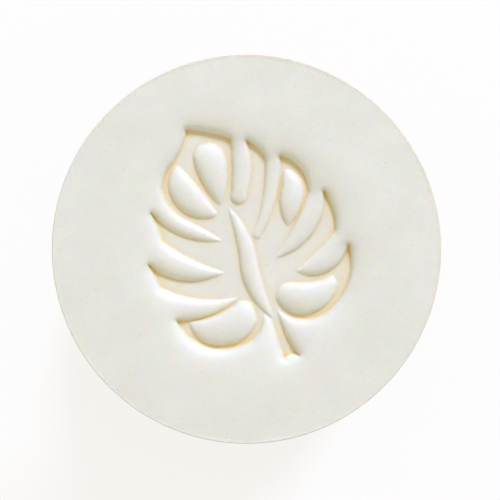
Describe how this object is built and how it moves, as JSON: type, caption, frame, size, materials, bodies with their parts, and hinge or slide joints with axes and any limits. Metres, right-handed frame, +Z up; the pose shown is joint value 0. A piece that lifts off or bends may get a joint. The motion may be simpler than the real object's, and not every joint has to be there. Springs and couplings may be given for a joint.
{
  "type": "clay stamp",
  "caption": "Round hand stamp: a fired clay face with a sunken split-leaf figure, screwed on a turned wooden knob.",
  "frame": {"origin": "the middle of the leather foot's underside, on the axis of the stamp, which stands on the end of its handle", "axes": "+Z up along the axis and out of the stamping face, +Y towards the top of the picture, +X to its right"},
  "size_m": [0.05, 0.05, 0.0652],
  "materials": {
    "fired_clay": "matte",
    "cork": "matte",
    "beech": "satin",
    "zinced_steel": "satin",
    "brass_washer": "satin",
    "stud_steel": "satin",
    "ferrule_brass": "satin",
    "pin_brass": "satin",
    "oiled_beech": "satin",
    "foot_leather": "matte"
  },
  "bodies": {
    "handle": {"knob": "oiled_beech", "leather_foot": "foot_leather", "ferrule": "ferrule_brass", "ferrule_pin": "pin_brass", "stud": "stud_steel"},
    "washer": {"seat_washer": "brass_washer"},
    "head": {"mount_disc": "beech", "tee_nut": "zinced_steel", "cork_backing": "cork", "leaf_face": "fired_clay"}
  },
  "joints": [
    {"name": "head_turn", "type": "hinge", "parent": "handle", "child": "washer", "pos_m": [0, 0, 0.046], "axis": [0, 0, 1], "range_deg": [0, 2430]},
    {"name": "head_rise", "type": "slide", "parent": "washer", "child": "head", "axis": [0, 0, 1], "range_m": [0, 0.0068]}
  ],
  "couplings": [
    {"joint": "head_rise", "follows": "head_turn", "m_per_rad": 0.00015915}
  ]
}
